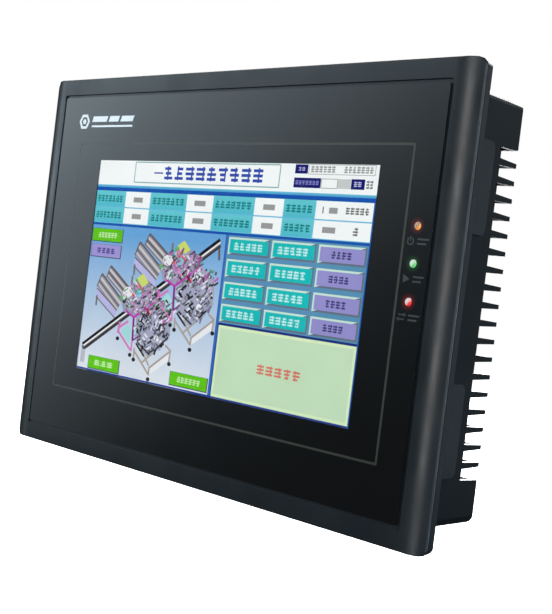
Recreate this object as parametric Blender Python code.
"""A 7-inch panel-mount touch operator panel: bezel, display stack, boards, housing, ports and clamps.

The origin is the centre of the panel cut-out, in the plane of the control panel's front face,
where the gasket's rear face seats. +X is the operator's right, +Y runs rearwards, +Z is up.
"""

import math

import bmesh
import bpy

MM = 0.001
GAP = 0.3 * MM
CORNER_STEPS = 5
ROUND_SIDES = 16
SMALL_SIDES = 12
SHARP_ANGLE = math.radians(35)

# Bezel and overlay.
BEZEL_HALF = (113.0 * MM, 80.3 * MM)
BEZEL_CORNER = 3.0 * MM
FRONT_Y = -7.6 * MM
RIDGE_Y = -4.95 * MM
FLANGE_Y = -0.8 * MM
EDGE_CHAMFER = 0.55 * MM
FLANGE_DRAFT = 0.4 * MM
ROLL_STEPS = 6
ROLL_REACH = 0.985
TOP_ROUND = 0.6 * MM
SHARP_CORNER = 0.4 * MM
RECESS_CORNER = 1.3 * MM
OVERLAY_HALF = (101.8 * MM, 72.1 * MM)
OVERLAY_CORNER = 0.8 * MM
OVERLAY_THICK = 0.4 * MM
OVERLAY_GROOVE = 1.2 * MM
BEZEL_WALL = 3.3 * MM
CAVITY_HALF = (101.5 * MM, 69.5 * MM)

# Display stack, centred a little right of the bezel's centre.
DISPLAY_X = 2.3 * MM
TOUCH_HALF = (88.0 * MM, 56.0 * MM)
TOUCH_THICK = 1.0 * MM
TOUCH_FRONT = FRONT_Y + OVERLAY_THICK + GAP
LEDGE_Y = TOUCH_FRONT + TOUCH_THICK + GAP
LCD_HALF = (83.5 * MM, 53.0 * MM)
LCD_WINDOW_HALF = (77.6 * MM, 46.6 * MM)
LCD_SHEET = 0.3 * MM
GLASS_HALF = (82.3 * MM, 51.8 * MM)
GLASS_THICK = 1.2 * MM
BACKLIGHT_THICK = 3.0 * MM
GLASS_FRONT = LEDGE_Y + LCD_SHEET + GAP
BACKLIGHT_FRONT = GLASS_FRONT + GLASS_THICK + GAP
LCD_BACK = BACKLIGHT_FRONT + BACKLIGHT_THICK + GAP

# Flat cables: the touch sensor's tail and the display's ribbon.
TAIL_X = 30.0 * MM
TAIL_HALF = 9.0 * MM
TAIL_Z = -55.0 * MM
RIBBON_X = -28.0 * MM
RIBBON_HALF = 12.0 * MM
RIBBON_Z = -42.0 * MM
FLEX_THICK = 0.3 * MM

# Indicator lights.
LED_X = 95.6 * MM
LED_Z = (25.2 * MM, 12.8 * MM, 0.2 * MM)
LED_NAMES = ("led_lens_power", "led_lens_run", "led_lens_comm")
LED_RADIUS = 1.5 * MM

# Gasket in the flange's groove.
GASKET_OUTER = (111.0 * MM, 78.3 * MM)
GASKET_WIDTH = 2.4 * MM
GASKET_THICK = 2.0 * MM

# Rear housing.
HOUSING_HALF = (106.5 * MM, 73.4 * MM)
HOUSING_CORNER = 3.0 * MM
HOUSING_WALL = 2.0 * MM
HOUSING_FRONT = FLANGE_Y + GAP
HOUSING_BACK = 31.2 * MM
BACK_ROUND = 0.8 * MM
SLOT_COUNT = 19
SLOT_PITCH = 6.1 * MM
SLOT_SHIFT = -0.85 * MM
SLOT_START = 19.2 * MM
SLOT_INNER_X = 99.5 * MM
SLOT_FRONT_HALF = 1.9 * MM
SLOT_BACK_HALF = 2.35 * MM
SLOT_CORNER = 0.6 * MM

# Tongues of the bezel that lap the housing's sides.
TONGUE_X = (106.8 * MM, 107.6 * MM)
TONGUE_BACK = 14.2 * MM
TONGUE_Z = (24.9 * MM, 56.4 * MM)
TONGUE_ROUND = 2.5 * MM

# Housing screws and the posts that take them.
POST_AT = (97.5 * MM, 65.5 * MM)
POST_RADIUS = 3.5 * MM
POST_BACK = 24.0 * MM
POST_BORE = 1.6 * MM
POST_BORE_DEEP = 12.5 * MM
COUNTERBORE_FLOOR = 27.4 * MM
SCREW_SHANK = 1.2 * MM

# Boards.
CARRIER_HALF = (93.0 * MM, 61.0 * MM)
CARRIER_Y = (0.6 * MM, 1.6 * MM)
BOARD_HALF = (93.0 * MM, 60.0 * MM)
BOARD_Y = (9.0 * MM, 10.6 * MM)
BOARD_SCREW_AT = (86.0 * MM, 48.0 * MM)
PORT_Y = BOARD_Y[1] + GAP
WALL_OUT = -HOUSING_HALF[1]

# Ports along the bottom wall, by the x of each one's centre.
POWER_X = -63.5 * MM
USB_DEVICE_X = -46.0 * MM
USB_HOST_X = -30.5 * MM
SERIAL_X = {"serial_port_a": -5.5 * MM, "serial_port_b": 28.0 * MM}
DIP_X = 52.0 * MM
RESET_X = 64.5 * MM
POLE_PITCH = 5.08 * MM
DIP_PITCH = 2.54 * MM

# Battery bay in the back wall.
BATTERY_AT = (52.0 * MM, 20.0 * MM)
BAY_HALF = 12.5 * MM
COVER_HALF = 15.0 * MM
CELL_RADIUS = 10.0 * MM

# Rating plate in the back wall.
PLATE_AT = (-38.0 * MM, 8.0 * MM)
PLATE_HALF = (40.0 * MM, 24.0 * MM)
PLATE_THICK = 0.3 * MM

# Mounting clamps, hooked into the top and bottom walls.
CLAMP_X = 82.0 * MM
CLAMP_Z = 77.6 * MM
FOOT_FRONT = 6.0 * MM
HOOK_SLOT_Y = (13.5 * MM, 19.0 * MM)
HOOK_SLOT_HALF = 4.0 * MM

FINISHES = {
    "moulded_black": ((0.016, 0.019, 0.021), 0.48, 0.0),
    "housing_black": ((0.009, 0.011, 0.012), 0.55, 0.0),
    "overlay_film": ((0.012, 0.017, 0.020), 0.25, 0.0),
    "clear_glass": ((0.75, 0.80, 0.82), 0.08, 0.0),
    "screen": ((0.20, 0.36, 0.55), 0.15, 0.0),
    "steel": ((0.52, 0.53, 0.54), 0.35, 1.0),
    "zinc": ((0.62, 0.61, 0.58), 0.30, 1.0),
    "nickel": ((0.68, 0.66, 0.62), 0.22, 1.0),
    "aluminium": ((0.60, 0.61, 0.62), 0.38, 1.0),
    "board_green": ((0.015, 0.11, 0.04), 0.45, 0.0),
    "flex_amber": ((0.42, 0.19, 0.03), 0.35, 0.0),
    "gasket_rubber": ((0.02, 0.02, 0.02), 0.85, 0.0),
    "white_plastic": ((0.70, 0.70, 0.68), 0.45, 0.0),
    "port_black": ((0.012, 0.012, 0.013), 0.40, 0.0),
    "terminal_green": ((0.02, 0.26, 0.09), 0.42, 0.0),
    "switch_red": ((0.45, 0.02, 0.02), 0.40, 0.0),
    "lens_amber": ((0.90, 0.35, 0.08), 0.15, 0.0),
    "lens_green": ((0.30, 0.85, 0.40), 0.15, 0.0),
    "lens_red": ((0.90, 0.15, 0.12), 0.15, 0.0),
    "plate_silver": ((0.55, 0.56, 0.57), 0.40, 0.6),
}


# ---------------------------------------------------------------- outlines and shells


def rounded_rect(half, radius, centre=(0.0, 0.0), steps=CORNER_STEPS):
    """The points of a rounded rectangle, anticlockwise from its right side."""
    points = []
    for quarter, (side, end) in enumerate(((1, 1), (-1, 1), (-1, -1), (1, -1))):
        for step in range(steps + 1):
            angle = (quarter + step / steps) * math.pi / 2
            across = centre[0] + side * (half[0] - radius) + radius * math.cos(angle)
            up = centre[1] + end * (half[1] - radius) + radius * math.sin(angle)
            points.append((across, up))
    return points


def circle(centre, radius, sides=ROUND_SIDES):
    """The points of a regular polygon, anticlockwise from its right side."""
    angles = [2 * math.pi * side / sides for side in range(sides)]
    return [
        (centre[0] + radius * math.cos(angle), centre[1] + radius * math.sin(angle))
        for angle in angles
    ]


def placed(axis, across, up, along):
    """A point from its two places in the plane across an axis and its place along the axis."""
    if axis == "X":
        return (along, across, up)
    if axis == "Y":
        return (across, along, up)
    return (across, up, along)


def loft(sections, ring=False, axis="Y"):
    """A shell through (outline, place) sections; a ring joins the last section to the first."""
    count = len(sections[0][0])
    verts = [placed(axis, a, b, along) for points, along in sections for a, b in points]
    faces = []
    for span in range(len(sections) - (0 if ring else 1)):
        near = span * count
        far = (span + 1) % len(sections) * count
        for i in range(count):
            j = (i + 1) % count
            faces.append((near + i, near + j, far + j, far + i))
    if not ring:
        faces.append(tuple(range(count)))
        faces.append(tuple(range(len(verts) - count, len(verts))))
    return verts, faces


def prism(points, axis, low, high):
    """An outline pushed along an axis."""
    return loft([(points, low), (points, high)], axis=axis)


def block(x, y, z):
    """A box from its (low, high) pairs."""
    corners = [(x[0], z[0]), (x[1], z[0]), (x[1], z[1]), (x[0], z[1])]
    return prism(corners, "Y", y[0], y[1])


def about(centre, half):
    """The (low, high) pair around a centre."""
    return (centre - half, centre + half)


def rod(centre, radius, axis, low, high, sides=ROUND_SIDES):
    """A cylinder along an axis."""
    return prism(circle(centre, radius, sides), axis, low, high)


def turned(centre, axis, profile, sides=ROUND_SIDES):
    """A turned solid whose (radius, place) profile starts and ends on its axis."""
    verts = [placed(axis, centre[0], centre[1], profile[0][1])]
    rings = profile[1:-1]
    for radius, along in rings:
        verts += [placed(axis, a, b, along) for a, b in circle(centre, radius, sides)]
    verts.append(placed(axis, centre[0], centre[1], profile[-1][1]))
    faces = []
    for i in range(sides):
        j = (i + 1) % sides
        faces.append((0, 1 + i, 1 + j))
        for ring in range(len(rings) - 1):
            near = 1 + ring * sides
            far = near + sides
            faces.append((near + i, near + j, far + j, far + i))
        last = 1 + (len(rings) - 1) * sides
        faces.append((last + i, last + j, len(verts) - 1))
    return verts, faces


def frame_ring(outer_half, inner_half, radius, centre, low, high):
    """A flat rectangular ring with rounded outer corners."""
    outer = rounded_rect(outer_half, radius, centre)
    inner = rounded_rect(inner_half, radius / 2, centre)
    return loft([(outer, low), (outer, high), (inner, high), (inner, low)], ring=True)


def strip(path, thick, x):
    """A flat ribbon of even thickness that follows a (y, z) path, between two places in x."""
    sides = ([], [])
    for i, (y, z) in enumerate(path):
        before = path[max(i - 1, 0)]
        after = path[min(i + 1, len(path) - 1)]
        length = math.hypot(after[0] - before[0], after[1] - before[1])
        across = ((after[1] - before[1]) / length, -(after[0] - before[0]) / length)
        for side, sign in zip(sides, (1, -1)):
            side.append((y + sign * across[0] * thick / 2, z + sign * across[1] * thick / 2))
    return prism(sides[0] + sides[1][::-1], "X", *x)


def bend(start, corner, end, radius, steps=4):
    """A (y, z) path from start to end that rounds the right-angled corner between them."""
    def towards(point):
        length = math.hypot(point[0] - corner[0], point[1] - corner[1])
        return ((point[0] - corner[0]) / length, (point[1] - corner[1]) / length)

    back, ahead = towards(start), towards(end)
    path = [start]
    for step in range(steps + 1):
        angle = step / steps * math.pi / 2
        near, far = 1 - math.sin(angle), 1 - math.cos(angle)
        path.append(
            tuple(corner[k] + radius * (near * back[k] + far * ahead[k]) for k in range(2))
        )
    return path + [end]


# ---------------------------------------------------------------- objects


def new_mesh(name, shells, origin):
    """A mesh of closed shells, with its points measured from the origin."""
    work = bmesh.new()
    for verts, faces in shells:
        made = [work.verts.new([p - o for p, o in zip(vert, origin)]) for vert in verts]
        for face in faces:
            work.faces.new([made[i] for i in face])
    bmesh.ops.recalc_face_normals(work, faces=work.faces)
    mesh = bpy.data.meshes.new(name)
    work.to_mesh(mesh)
    work.free()
    mesh.shade_smooth()
    mesh.set_sharp_from_angle(angle=SHARP_ANGLE)
    return mesh


def finish(obj, look):
    """Gives an object a material of its own."""
    colour, roughness, metallic = FINISHES[look]
    made = bpy.data.materials.new(obj.name)
    made.use_nodes = True
    shader = made.node_tree.nodes["Principled BSDF"]
    shader.inputs["Base Color"].default_value = (*colour, 1.0)
    shader.inputs["Roughness"].default_value = roughness
    shader.inputs["Metallic"].default_value = metallic
    made.diffuse_color = (*colour, 1.0)
    obj.data.materials.append(made)


def piece(name, shells, look, origin=(0.0, 0.0, 0.0)):
    """A named object made of shells, with its origin where it turns or slides."""
    obj = bpy.data.objects.new(name, new_mesh(name, shells, origin))
    obj.location = origin
    bpy.context.scene.collection.objects.link(obj)
    finish(obj, look)
    return obj


def combine(obj, label, shells, operation):
    """Adds shells to an object, or cuts them from it, by a Boolean that stays on the object."""
    name = f"{obj.name}_{label}"
    helper = bpy.data.objects.new(name, new_mesh(name, shells, (0.0, 0.0, 0.0)))
    helper.hide_render = True
    helper.display_type = "WIRE"
    bpy.context.scene.collection.objects.link(helper)
    modifier = obj.modifiers.new(label, "BOOLEAN")
    modifier.operation = operation
    modifier.solver = "EXACT"
    modifier.object = helper


def join(obj, label, shells):
    combine(obj, label, shells, "UNION")


def cut(obj, label, shells):
    combine(obj, label, shells, "DIFFERENCE")


def settle(obj):
    """Turns an object's modifiers into its own mesh, so that copies can share it."""
    graph = bpy.context.evaluated_depsgraph_get()
    mesh = bpy.data.meshes.new_from_object(obj.evaluated_get(graph))
    helpers = [modifier.object for modifier in obj.modifiers]
    obj.modifiers.clear()
    obj.data = mesh
    for helper in helpers:
        bpy.data.objects.remove(helper)


def copies(obj, names, places, turns=None):
    """Copies that share an object's mesh, each at its own place and turned about Y."""
    for i, (name, place) in enumerate(zip(names, places)):
        twin = bpy.data.objects.new(name, obj.data)
        twin.location = place
        twin.rotation_euler = (0.0, turns[i] if turns else 0.0, 0.0)
        bpy.context.scene.collection.objects.link(twin)


def corner_places(at):
    """The four mirrored places of a point given in x and z."""
    return [(x * at[0], z * at[1]) for x in (1, -1) for z in (1, -1)]


# ---------------------------------------------------------------- front


def front_rim(recess_x, share, place):
    """Half size and corner of the front at one depth: its sides roll, its ends are flat."""
    ridge = BEZEL_HALF[0] - EDGE_CHAMFER
    across = ridge + (recess_x - ridge) * share * ROLL_REACH
    deep = max(0.0, (FRONT_Y + TOP_ROUND - place) / TOP_ROUND)
    up = BEZEL_HALF[1] - TOP_ROUND * (1 - math.sqrt(max(0.0, 1 - deep**2)))
    corner = max(SHARP_CORNER, BEZEL_CORNER - (BEZEL_HALF[0] - across))
    return (across, up), corner


def bezel_profile():
    """The bezel's cross-section as sections of a closed ring, from the flange's back round."""

    def outline(half, radius, place, centre=(0.0, 0.0)):
        return (rounded_rect(half, radius, centre), place)

    def inset(amount, place):
        half = (BEZEL_HALF[0] - amount, BEZEL_HALF[1] - amount)
        return outline(half, BEZEL_CORNER - min(amount, BEZEL_CORNER / 2), place)

    recess = [size + OVERLAY_GROOVE for size in OVERLAY_HALF]
    sections = [inset(FLANGE_DRAFT, FLANGE_Y), inset(0.0, RIDGE_Y + EDGE_CHAMFER)]
    for step in range(ROLL_STEPS + 1):
        place = FRONT_Y + (RIDGE_Y - FRONT_Y) * (1 - step / ROLL_STEPS) ** 2
        sections.append(outline(*front_rim(recess[0], step / ROLL_STEPS, place), place))
    sections.append(outline([size + 0.05 * MM for size in recess], RECESS_CORNER, FRONT_Y))
    touch = [size + GAP for size in TOUCH_HALF]
    window = [size + 0.4 * MM for size in LCD_HALF]
    middle = (DISPLAY_X, 0.0)
    recess_floor = FRONT_Y + OVERLAY_THICK + GAP
    wall_back = recess_floor + BEZEL_WALL
    groove_out = [size + GAP for size in GASKET_OUTER]
    groove_in = [size - GASKET_WIDTH - GAP for size in GASKET_OUTER]
    groove_floor = -GASKET_THICK - GAP
    return sections + [
        outline(recess, RECESS_CORNER, FRONT_Y + 0.15 * MM),
        outline(recess, RECESS_CORNER, recess_floor),
        outline(touch, 1.5 * MM, recess_floor, middle),
        outline(touch, 1.5 * MM, LEDGE_Y, middle),
        outline(window, 1.0 * MM, LEDGE_Y, middle),
        outline(window, 1.0 * MM, wall_back, middle),
        outline(CAVITY_HALF, 2.0 * MM, wall_back),
        outline(CAVITY_HALF, 2.0 * MM, FLANGE_Y),
        outline(groove_in, 2.0 * MM, FLANGE_Y),
        outline(groove_in, 2.0 * MM, groove_floor),
        outline(groove_out, 3.0 * MM, groove_floor),
        outline(groove_out, 3.0 * MM, FLANGE_Y),
    ]


def tongue_outline(side):
    """One tongue's outline in y and z, with its two rear corners rounded."""
    low, high = sorted((side * TONGUE_Z[0], side * TONGUE_Z[1]))
    points = [(FLANGE_Y - 1.0 * MM, low)]
    for centre, start in ((low + TONGUE_ROUND, -90), (high - TONGUE_ROUND, 0)):
        for step in range(CORNER_STEPS + 1):
            angle = math.radians(start + 90 * step / CORNER_STEPS)
            points.append(
                (
                    TONGUE_BACK - TONGUE_ROUND + TONGUE_ROUND * math.cos(angle),
                    centre + TONGUE_ROUND * math.sin(angle),
                )
            )
    return points + [(FLANGE_Y - 1.0 * MM, high)]


def make_front_bezel():
    bezel = piece("front_bezel", [loft(bezel_profile(), ring=True)], "moulded_black")
    tongues = [
        prism(tongue_outline(end), "X", *sorted(side * x for x in TONGUE_X))
        for side in (1, -1)
        for end in (1, -1)
    ]
    posts = [
        rod(place, POST_RADIUS, "Y", FRONT_Y + 2.0 * MM, POST_BACK)
        for place in corner_places(POST_AT)
    ]
    join(bezel, "tongues_and_posts", tongues + posts)
    bores = [
        rod(place, POST_BORE, "Y", POST_BACK - POST_BORE_DEEP, POST_BACK + MM, SMALL_SIDES)
        for place in corner_places(POST_AT)
    ]
    lights = [
        rod((LED_X, z), LED_RADIUS + 0.35 * MM, "Y", FRONT_Y, 0.0, SMALL_SIDES)
        for z in LED_Z
    ]
    tail = block(about(TAIL_X, 11.0 * MM), (FRONT_Y, 0.0), (-56.0 * MM, -54.0 * MM))
    cut(bezel, "bores_and_slots", bores + lights + [tail])


def make_front_overlay():
    sheet = rounded_rect(OVERLAY_HALF, OVERLAY_CORNER)
    overlay = piece(
        "front_overlay",
        [prism(sheet, "Y", FRONT_Y, FRONT_Y + OVERLAY_THICK)],
        "overlay_film",
    )
    holes = [
        rod((LED_X, z), LED_RADIUS + GAP, "Y", FRONT_Y - MM, FRONT_Y + MM, SMALL_SIDES)
        for z in LED_Z
    ]
    cut(overlay, "light_windows", holes)


def make_led_parts():
    shoulder = LEDGE_Y + 2.3 * MM
    for name, z, look in zip(
        LED_NAMES, LED_Z, ("lens_amber", "lens_green", "lens_red")
    ):
        profile = [
            (0.0, FRONT_Y - 0.15 * MM),
            (LED_RADIUS * 0.7, FRONT_Y - 0.05 * MM),
            (LED_RADIUS, FRONT_Y + 0.2 * MM),
            (LED_RADIUS, shoulder),
            (2.6 * MM, shoulder),
            (2.6 * MM, shoulder + 0.7 * MM),
            (0.0, shoulder + 0.7 * MM),
        ]
        piece(name, [turned((LED_X, z), "Y", profile, SMALL_SIDES)], look)
    front = shoulder + 0.7 * MM + GAP
    board = block(about(LED_X, 4.4 * MM), (front, front + MM), (-8.0 * MM, 33.0 * MM))
    piece("led_board", [board], "board_green")


def make_panel_gasket():
    inner = [size - GASKET_WIDTH for size in GASKET_OUTER]
    piece(
        "panel_gasket",
        [frame_ring(GASKET_OUTER, inner, 3.0 * MM, (0.0, 0.0), -GASKET_THICK, 0.0)],
        "gasket_rubber",
    )


# ---------------------------------------------------------------- display stack


def make_touch_sensor():
    sheet = rounded_rect(TOUCH_HALF, 1.0 * MM, (DISPLAY_X, 0.0), steps=2)
    piece(
        "touch_sensor",
        [prism(sheet, "Y", TOUCH_FRONT, TOUCH_FRONT + TOUCH_THICK)],
        "clear_glass",
    )
    start = (LEDGE_Y, TAIL_Z)
    corner = (BOARD_Y[0] - 0.6 * MM, TAIL_Z)
    end = (corner[0], TAIL_Z + 12.0 * MM)
    path = bend(start, corner, end, 3.0 * MM)
    piece(
        "touch_flex",
        [strip(path, FLEX_THICK, about(TAIL_X, TAIL_HALF))],
        "flex_amber",
    )


def make_lcd():
    middle = (DISPLAY_X, 0.0)
    lip = rounded_rect(LCD_HALF, 1.0 * MM, middle)
    window = rounded_rect(LCD_WINDOW_HALF, 0.5 * MM, middle)
    inside = rounded_rect([size + GAP for size in GLASS_HALF], 0.5 * MM, middle)
    sections = [
        (lip, LCD_BACK),
        (lip, LEDGE_Y),
        (window, LEDGE_Y),
        (window, LEDGE_Y + LCD_SHEET),
        (inside, LEDGE_Y + LCD_SHEET),
        (inside, LCD_BACK),
    ]
    piece("lcd_frame", [loft(sections, ring=True)], "steel")
    x = about(DISPLAY_X, GLASS_HALF[0])
    z = about(0.0, GLASS_HALF[1])
    glass = block(x, (GLASS_FRONT, GLASS_FRONT + GLASS_THICK), z)
    piece("lcd_glass", [glass], "screen")
    lamp = block(x, (BACKLIGHT_FRONT, BACKLIGHT_FRONT + BACKLIGHT_THICK), z)
    piece("backlight_unit", [lamp], "white_plastic")
    first = (LCD_BACK + 0.35 * MM, -26.0 * MM)
    turn = (first[0], RIBBON_Z)
    last = (BOARD_Y[0] - 0.6 * MM, RIBBON_Z)
    path = bend(first, turn, last, 1.5 * MM)
    ribbon = strip(path, FLEX_THICK, about(RIBBON_X, RIBBON_HALF))
    piece("lcd_flex", [ribbon], "flex_amber")


def make_display_carrier():
    plate = rounded_rect(CARRIER_HALF, 2.0 * MM, steps=2)
    carrier = piece("display_carrier", [prism(plate, "Y", *CARRIER_Y)], "zinc")
    standoffs = [
        rod(place, 3.0 * MM, "Y", CARRIER_Y[0] + 0.2 * MM, BOARD_Y[0] - GAP, SMALL_SIDES)
        for place in corner_places(BOARD_SCREW_AT)
    ]
    join(carrier, "standoffs", standoffs)
    slots = [
        block(about(TAIL_X, 10.0 * MM), (0.0, 2.0 * MM), (-57.0 * MM, -53.0 * MM)),
        block(about(RIBBON_X, 13.0 * MM), (0.0, 2.0 * MM), (-44.5 * MM, -38.0 * MM)),
    ]
    windows = [
        block(about(x, 10.0 * MM), (0.0, 2.0 * MM), about(12.0 * MM, 22.0 * MM))
        for x in (-66.0 * MM, -22.0 * MM, 22.0 * MM, 66.0 * MM)
    ]
    bores = [
        rod(place, 1.5 * MM, "Y", 3.0 * MM, BOARD_Y[0], SMALL_SIDES)
        for place in corner_places(BOARD_SCREW_AT)
    ]
    cut(carrier, "openings", slots + windows + bores)


# ---------------------------------------------------------------- main board


def make_main_board():
    plate = rounded_rect(BOARD_HALF, 2.0 * MM, steps=2)
    board = piece("main_board", [prism(plate, "Y", *BOARD_Y)], "board_green")
    holes = [
        rod(place, 1.6 * MM, "Y", BOARD_Y[0] - MM, BOARD_Y[1] + MM, SMALL_SIDES)
        for place in corner_places(BOARD_SCREW_AT)
    ]
    cut(board, "screw_holes", holes)


def screw_profile(shank, length, head, head_thick, under):
    """A pan-head screw's profile from its tip to its head's top, with its head seated at `under`."""
    return [
        (0.0, under - length),
        (shank * 0.6, under - length),
        (shank, under - length + shank),
        (shank, under),
        (head, under),
        (head, under + head_thick * 0.55),
        (head * 0.72, under + head_thick),
        (head * 0.32, under + head_thick),
        (head * 0.32, under + head_thick * 0.4),
        (0.0, under + head_thick * 0.4),
    ]


def make_screws():
    board = screw_profile(1.1 * MM, 6.0 * MM, 2.7 * MM, 1.8 * MM, BOARD_Y[1] + GAP)
    housing = screw_profile(SCREW_SHANK, 13.0 * MM, 2.8 * MM, 2.2 * MM, COUNTERBORE_FLOOR + GAP)
    for stem, profile, at in (
        ("board_screw", board, BOARD_SCREW_AT),
        ("housing_screw", housing, POST_AT),
    ):
        places = [(x, 0.0, z) for x, z in corner_places(at)]
        first = piece(f"{stem}_1", [turned((0.0, 0.0), "Y", profile, SMALL_SIDES)], "zinc")
        first.location = places[0]
        copies(first, [f"{stem}_{i}" for i in (2, 3, 4)], places[1:])


def make_board_parts():
    base = (PORT_Y, PORT_Y + 2.5 * MM)
    sink = piece(
        "cpu_heatsink",
        [block(about(2.0 * MM, 18.0 * MM), base, about(14.0 * MM, 18.0 * MM))],
        "aluminium",
    )
    fins = [
        block(
            about(2.0 * MM + (i - 3.5) * 5.0 * MM, 0.7 * MM),
            (base[0] + MM, PORT_Y + 10.0 * MM),
            about(14.0 * MM, 17.9 * MM),
        )
        for i in range(8)
    ]
    join(sink, "fins", fins)
    top = PORT_Y + 9.5 * MM
    profile = [
        (0.0, PORT_Y),
        (6.0 * MM, PORT_Y),
        (6.0 * MM, top),
        (1.2 * MM, top),
        (1.2 * MM, top - 2.0 * MM),
        (0.0, top - 2.0 * MM),
    ]
    buzzer = turned((-62.0 * MM, -22.0 * MM), "Y", profile)
    piece("buzzer", [buzzer], "port_black")


def make_battery():
    seat = PORT_Y + 1.2 * MM
    holder = CELL_RADIUS + 1.6 * MM
    well = CELL_RADIUS + GAP
    profile = [
        (0.0, PORT_Y),
        (holder, PORT_Y),
        (holder, PORT_Y + 4.0 * MM),
        (well, PORT_Y + 4.0 * MM),
        (well, seat),
        (0.0, seat),
    ]
    piece(
        "coin_cell_holder",
        [turned(BATTERY_AT, "Y", profile, 2 * ROUND_SIDES)],
        "port_black",
    )
    face = seat + GAP
    rim = CELL_RADIUS - 0.2 * MM
    cell = [
        (0.0, face),
        (rim - 1.0 * MM, face),
        (rim, face + 0.8 * MM),
        (rim, face + 3.2 * MM),
        (0.0, face + 3.2 * MM),
    ]
    piece("coin_cell", [turned(BATTERY_AT, "Y", cell, 2 * ROUND_SIDES)], "nickel")
    front = HOUSING_BACK - 1.0 * MM
    origin = (BATTERY_AT[0], HOUSING_BACK, BATTERY_AT[1])
    lid = rounded_rect((COVER_HALF, COVER_HALF), 1.5 * MM, BATTERY_AT)
    cover = piece("battery_cover", [prism(lid, "Y", front, HOUSING_BACK)], "housing_black", origin)
    legs = [
        block(
            about(BATTERY_AT[0] + side * (BAY_HALF - 1.1 * MM), 0.7 * MM),
            (HOUSING_BACK - 4.5 * MM, HOUSING_BACK - 0.4 * MM),
            about(BATTERY_AT[1], 4.0 * MM),
        )
        for side in (1, -1)
    ]
    join(cover, "legs", legs)
    grip = block(
        about(BATTERY_AT[0], 4.0 * MM),
        (HOUSING_BACK - 0.5 * MM, HOUSING_BACK + MM),
        about(BATTERY_AT[1] + COVER_HALF - 2.4 * MM, 1.0 * MM),
    )
    cut(cover, "grip", [grip])


# ---------------------------------------------------------------- ports in the bottom wall


def make_power_port():
    header = piece(
        "power_header",
        [
            block(
                about(POWER_X, 9.4 * MM),
                (PORT_Y, PORT_Y + 11.0 * MM),
                (WALL_OUT + GAP, -58.0 * MM),
            )
        ],
        "terminal_green",
    )
    cavity = block(
        about(POWER_X, 8.4 * MM),
        (PORT_Y + 1.2 * MM, PORT_Y + 9.8 * MM),
        (WALL_OUT - MM, -61.0 * MM),
    )
    cut(header, "cavity", [cavity])
    mouth = WALL_OUT - GAP
    origin = (POWER_X, PORT_Y + 5.5 * MM, mouth)
    plug = piece(
        "power_plug",
        [
            block(
                about(POWER_X, 8.7 * MM),
                (PORT_Y + 0.3 * MM, PORT_Y + 11.2 * MM),
                (mouth - 7.7 * MM, mouth),
            )
        ],
        "terminal_green",
        origin,
    )
    nose = block(
        about(POWER_X, 8.0 * MM),
        (PORT_Y + 1.6 * MM, PORT_Y + 9.4 * MM),
        (mouth - MM, -61.5 * MM),
    )
    join(plug, "nose", [nose])
    screw_z = mouth - 3.9 * MM
    poles = [POWER_X + side * POLE_PITCH for side in (-1, 0, 1)]
    bores = [
        rod((x, screw_z), 2.2 * MM, "Y", PORT_Y + 5.6 * MM, PORT_Y + 12.0 * MM, SMALL_SIDES)
        for x in poles
    ]
    wires = [
        block(
            about(x, 1.7 * MM),
            (PORT_Y + 1.3 * MM, PORT_Y + 4.7 * MM),
            (mouth - 9.0 * MM, mouth - 2.0 * MM),
        )
        for x in poles
    ]
    cut(plug, "bores_and_wire_entries", bores + wires)
    top = PORT_Y + 10.4 * MM
    profile = [
        (0.0, PORT_Y + 6.0 * MM),
        (1.8 * MM, PORT_Y + 6.0 * MM),
        (1.8 * MM, top),
        (0.0, top),
    ]
    for i, x in enumerate(poles):
        screw = piece(
            f"terminal_screw_{i + 1}",
            [turned((x, screw_z), "Y", profile, SMALL_SIDES)],
            "zinc",
            (x, top, screw_z),
        )
        slot = block(about(x, 0.25 * MM), (top - 0.8 * MM, top + MM), about(screw_z, 2.0 * MM))
        cut(screw, "driver_slot", [slot])


def make_usb_ports():
    depth = -62.0 * MM
    device = piece(
        "usb_device_port",
        [
            block(
                about(USB_DEVICE_X, 6.0 * MM),
                (PORT_Y, PORT_Y + 10.8 * MM),
                (WALL_OUT - 0.6 * MM, -57.0 * MM),
            )
        ],
        "nickel",
    )
    middle = PORT_Y + 5.4 * MM
    around = rounded_rect((4.25 * MM, 3.9 * MM), 1.2 * MM, (USB_DEVICE_X, middle), 2)
    post = rounded_rect((2.8 * MM, 1.6 * MM), 0.3 * MM, (USB_DEVICE_X, middle), 2)
    mouth = WALL_OUT - MM
    cut(
        device,
        "socket",
        [loft([(around, mouth), (around, depth), (post, depth), (post, mouth)], True, "Z")],
    )
    host = piece(
        "usb_host_port",
        [
            block(
                about(USB_HOST_X, 7.0 * MM),
                (PORT_Y, PORT_Y + 7.1 * MM),
                (WALL_OUT - 0.6 * MM, -57.0 * MM),
            )
        ],
        "nickel",
    )
    socket = block(
        about(USB_HOST_X, 6.3 * MM),
        (PORT_Y + 0.9 * MM, PORT_Y + 6.1 * MM),
        (mouth, depth),
    )
    cut(host, "socket", [socket])
    tongue = block(
        about(USB_HOST_X, 5.5 * MM),
        (PORT_Y + 1.4 * MM, PORT_Y + 3.2 * MM),
        (WALL_OUT + 0.5 * MM, depth + MM),
    )
    join(host, "tongue", [tongue])


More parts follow.
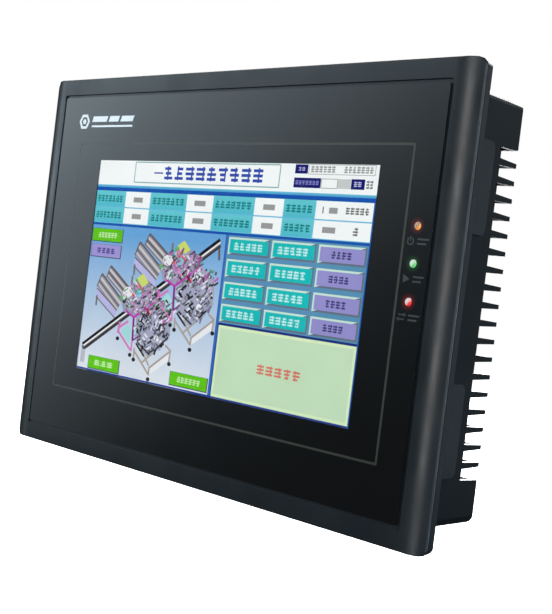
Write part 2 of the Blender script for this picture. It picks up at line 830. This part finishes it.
def d_outline(centre, half, height_half, slant, radius_steps=3):
    """A D-shaped outline in x and y: a long side towards +Y and slanted ends, corners rounded."""
    corners = [
        (half, height_half),
        (-half, height_half),
        (-half + slant, -height_half),
        (half - slant, -height_half),
    ]
    radius = 1.6 * MM
    points = []
    for i, corner in enumerate(corners):
        before = corners[i - 1]
        after = corners[(i + 1) % 4]
        ways = []
        for other in (before, after):
            length = math.hypot(other[0] - corner[0], other[1] - corner[1])
            ways.append([(o - c) / length * radius for o, c in zip(other, corner)])
        for step in range(radius_steps + 1):
            t = step / radius_steps
            points.append(
                tuple(
                    centre[k]
                    + corner[k]
                    + ways[0][k] * (1 - t) ** 2
                    + ways[1][k] * t**2
                    for k in range(2)
                )
            )
    return points


def make_serial_port(name, x):
    centre = (x, PORT_Y + 6.25 * MM)
    outer = d_outline(centre, 8.45 * MM, 4.2 * MM, 1.4 * MM)
    inner = d_outline(centre, 7.95 * MM, 3.7 * MM, 1.3 * MM)
    face = d_outline(centre, 7.6 * MM, 3.35 * MM, 1.2 * MM)
    plate = (WALL_OUT, WALL_OUT + MM)
    tip = WALL_OUT - 5.8 * MM
    shell = piece(
        f"{name}_shell",
        [block(about(x, 15.4 * MM), about(centre[1], 6.2 * MM), plate)],
        "nickel",
    )
    ears = [(x + side * 12.5 * MM, centre[1]) for side in (1, -1)]
    nuts = [rod(at, 2.8 * MM, "Z", WALL_OUT - 4.0 * MM, plate[1] - 0.2 * MM, 6) for at in ears]
    join(shell, "d_collar", [prism(outer, "Z", tip, plate[1] - 0.3 * MM)] + nuts)
    threads = [rod(at, 1.4 * MM, "Z", WALL_OUT - 5.0 * MM, WALL_OUT, SMALL_SIDES) for at in ears]
    cut(shell, "d_opening", [prism(inner, "Z", tip - MM, plate[1] + MM)] + threads)
    back = block(
        about(x, 14.8 * MM),
        (PORT_Y, PORT_Y + 11.6 * MM),
        (plate[1] + GAP, -60.0 * MM),
    )
    insert = piece(f"{name}_insert", [back], "port_black")
    join(insert, "face", [prism(face, "Z", tip + 0.4 * MM, plate[1] + 2 * MM)])


def make_dip_switch():
    middle = PORT_Y + 3.3 * MM
    front = WALL_OUT + 0.8 * MM
    body = piece(
        "dip_switch_body",
        [block(about(DIP_X, 5.9 * MM), (PORT_Y, PORT_Y + 6.6 * MM), (front, -64.0 * MM))],
        "switch_red",
    )
    poles = [DIP_X + (i - 1.5) * DIP_PITCH for i in range(4)]
    slots = [
        block(about(x, 0.8 * MM), about(middle, 1.9 * MM), (front - MM, front + 1.6 * MM))
        for x in poles
    ]
    cut(body, "slots", slots)
    rest = middle - 0.8 * MM
    for i, x in enumerate(poles):
        depth = (front - 0.5 * MM, front + 1.3 * MM)
        slider = block(about(x, 0.5 * MM), about(rest, 0.7 * MM), depth)
        piece(f"dip_slider_{i + 1}", [slider], "white_plastic", (x, rest, front))


def make_reset_button():
    y = PORT_Y + 4.0 * MM
    rear = -68.9 * MM
    tip = WALL_OUT - 0.2 * MM
    profile = [
        (0.0, tip),
        (1.7 * MM, tip),
        (2.0 * MM, tip + GAP),
        (2.0 * MM, rear - 0.8 * MM),
        (2.9 * MM, rear - 0.8 * MM),
        (2.9 * MM, rear),
        (0.0, rear),
    ]
    origin = (RESET_X, y, rear)
    piece("reset_button", [turned((RESET_X, y), "Z", profile)], "white_plastic", origin)
    switch = piece(
        "reset_switch",
        [block(about(RESET_X, 3.0 * MM), (PORT_Y, PORT_Y + 7.0 * MM), (-67.2 * MM, -62.0 * MM))],
        "port_black",
    )
    join(switch, "plunger", [rod((RESET_X, y), 1.2 * MM, "Z", -68.1 * MM, -66.0 * MM, SMALL_SIDES)])


# ---------------------------------------------------------------- rear housing


def slot_cutters():
    """The comb of cooling slots that notches both rear vertical edges."""
    shells = []
    for i in range(SLOT_COUNT):
        z = (i - (SLOT_COUNT - 1) / 2) * SLOT_PITCH + SLOT_SHIFT
        outline = [
            (SLOT_START, z - SLOT_FRONT_HALF + SLOT_CORNER),
            (SLOT_START + SLOT_CORNER, z - SLOT_FRONT_HALF),
            (HOUSING_BACK + MM, z - SLOT_BACK_HALF),
            (HOUSING_BACK + MM, z + SLOT_BACK_HALF),
            (SLOT_START + SLOT_CORNER, z + SLOT_FRONT_HALF),
            (SLOT_START, z + SLOT_FRONT_HALF - SLOT_CORNER),
        ]
        for side in (1, -1):
            x = sorted((side * SLOT_INNER_X, side * (HOUSING_HALF[0] + MM)))
            shells.append(prism(outline, "X", *x))
    return shells


def port_cutters():
    """The openings in the bottom wall, each a little larger than its port."""
    wall = (WALL_OUT - MM, WALL_OUT + HOUSING_WALL + MM)
    sizes = [
        (POWER_X, 9.4, 11.0),
        (USB_DEVICE_X, 6.0, 10.8),
        (USB_HOST_X, 7.0, 7.1),
        (DIP_X, 5.9, 6.6),
    ]
    sizes += [(x, 15.4, 12.45) for x in SERIAL_X.values()]
    shells = [
        block(about(x, half * MM + GAP), (PORT_Y - GAP, PORT_Y + tall * MM + GAP), wall)
        for x, half, tall in sizes
    ]
    return shells + [rod((RESET_X, PORT_Y + 4.0 * MM), 2.4 * MM, "Z", *wall)]


def make_rear_housing():
    half = HOUSING_HALF
    rounded = [
        (rounded_rect(half, HOUSING_CORNER), HOUSING_FRONT),
        (rounded_rect(half, HOUSING_CORNER), HOUSING_BACK - BACK_ROUND),
    ]
    for degrees in (30, 60, 90):
        angle = math.radians(degrees)
        inset = BACK_ROUND * (1 - math.cos(angle))
        place = HOUSING_BACK - BACK_ROUND * (1 - math.sin(angle))
        outline = rounded_rect([size - inset for size in half], HOUSING_CORNER - inset)
        rounded.append((outline, place))
    housing = piece("rear_housing", [loft(rounded)], "housing_black")
    inner = rounded_rect([size - HOUSING_WALL for size in half], HOUSING_CORNER / 2)
    cut(housing, "hollow", [prism(inner, "Y", -5.0 * MM, HOUSING_BACK - HOUSING_WALL)])
    bosses = [
        rod(place, 4.8 * MM, "Y", POST_BACK + GAP, HOUSING_BACK - MM)
        for place in corner_places(POST_AT)
    ]
    join(housing, "bosses", bosses)
    counterbores = [
        rod(place, 3.3 * MM, "Y", COUNTERBORE_FLOOR, HOUSING_BACK + MM)
        for place in corner_places(POST_AT)
    ]
    bay = block(
        about(BATTERY_AT[0], BAY_HALF),
        (HOUSING_BACK - 4.0 * MM, HOUSING_BACK + MM),
        about(BATTERY_AT[1], BAY_HALF),
    )
    hooks = [
        block(
            about(side * CLAMP_X, HOOK_SLOT_HALF),
            HOOK_SLOT_Y,
            sorted((end * (half[1] - HOUSING_WALL - MM), end * (half[1] + MM))),
        )
        for side in (1, -1)
        for end in (1, -1)
    ]
    cut(housing, "openings", counterbores + [bay] + hooks + port_cutters())
    shanks = [
        rod(place, 1.8 * MM, "Y", POST_BACK - MM, HOUSING_BACK, SMALL_SIDES)
        for place in corner_places(POST_AT)
    ]
    lid_seat = rounded_rect([COVER_HALF + GAP] * 2, 1.8 * MM, BATTERY_AT)
    plate_half = [size + GAP for size in PLATE_HALF]
    plate_seat = rounded_rect(plate_half, 1.3 * MM, PLATE_AT)
    seats = [
        prism(lid_seat, "Y", HOUSING_BACK - 1.0 * MM - GAP, HOUSING_BACK + MM),
        prism(plate_seat, "Y", HOUSING_BACK - PLATE_THICK - GAP, HOUSING_BACK + MM),
    ]
    cut(housing, "seats", seats + shanks)
    cut(housing, "vent_comb", slot_cutters())
    plate = rounded_rect(PLATE_HALF, 1.0 * MM, PLATE_AT)
    piece(
        "rating_plate",
        [prism(plate, "Y", HOUSING_BACK - PLATE_THICK, HOUSING_BACK)],
        "plate_silver",
    )


# ---------------------------------------------------------------- clamps


def make_clamps():
    """Four clamps, drawn with the screw's axis as their own Y axis and the housing below."""
    base = HOUSING_HALF[1] + GAP - CLAMP_Z
    nut_y = (17.0 * MM, 27.0 * MM)
    nut_half = (6.0 * MM, 3.6 * MM)
    outer = rounded_rect(nut_half, 0.8 * MM, steps=2)
    bore = circle((0.0, 0.0), 2.35 * MM, len(outer))
    turned_bore = bore[1:] + bore[:1]
    nut = loft(
        [(outer, nut_y[0]), (outer, nut_y[1]), (turned_bore, nut_y[1]), (turned_bore, nut_y[0])],
        ring=True,
    )
    bracket = piece("clamp_bracket_1", [nut], "steel")
    sole = block((-7.0 * MM, 7.0 * MM), (15.0 * MM, 27.5 * MM), (base, base + 1.3 * MM))
    wall_in = base - GAP - HOUSING_WALL
    hook_half = HOOK_SLOT_HALF - 0.5 * MM
    leg = block(
        (-hook_half, hook_half),
        (16.4 * MM, HOOK_SLOT_Y[1] - GAP),
        (wall_in - 1.8 * MM, base + 0.5 * MM),
    )
    lip = block(
        (-hook_half, hook_half),
        (16.5 * MM, 21.4 * MM),
        (wall_in - 1.9 * MM, wall_in - GAP),
    )
    join(bracket, "sole", [sole])
    join(bracket, "hook_leg", [leg])
    join(bracket, "hook_lip", [lip])
    settle(bracket)
    seat = FOOT_FRONT + 1.5 * MM
    foot_back = FOOT_FRONT + 4.5 * MM
    foot_profile = [
        (0.0, FOOT_FRONT),
        (3.0 * MM, FOOT_FRONT),
        (3.4 * MM, FOOT_FRONT + 0.4 * MM),
        (3.4 * MM, foot_back),
        (2.4 * MM, foot_back),
        (2.4 * MM, seat),
        (0.0, seat),
    ]
    foot = piece("clamp_foot_1", [turned((0.0, 0.0), "Y", foot_profile)], "port_black")
    screw = piece(
        "clamp_screw_1",
        [
            turned(
                (0.0, 0.0),
                "Y",
                screw_profile(2.0 * MM, 33.0 * MM - seat - 0.4 * MM, 3.5 * MM, 2.8 * MM, 33.0 * MM),
            )
        ],
        "zinc",
    )
    places = [(x, 0.0, z) for x, z in corner_places((CLAMP_X, CLAMP_Z))]
    turns = [0.0 if place[2] > 0 else math.pi for place in places]
    for stem, first in (
        ("clamp_bracket", bracket),
        ("clamp_foot", foot),
        ("clamp_screw", screw),
    ):
        first.location = places[0]
        copies(first, [f"{stem}_{i}" for i in (2, 3, 4)], places[1:], turns[1:])


def main():
    for obj in list(bpy.data.objects):
        bpy.data.objects.remove(obj)
    make_front_bezel()
    make_front_overlay()
    make_led_parts()
    make_panel_gasket()
    make_touch_sensor()
    make_lcd()
    make_display_carrier()
    make_main_board()
    make_board_parts()
    make_battery()
    make_screws()
    make_power_port()
    make_usb_ports()
    for name, x in SERIAL_X.items():
        make_serial_port(name, x)
    make_dip_switch()
    make_reset_button()
    make_rear_housing()
    make_clamps()


main()
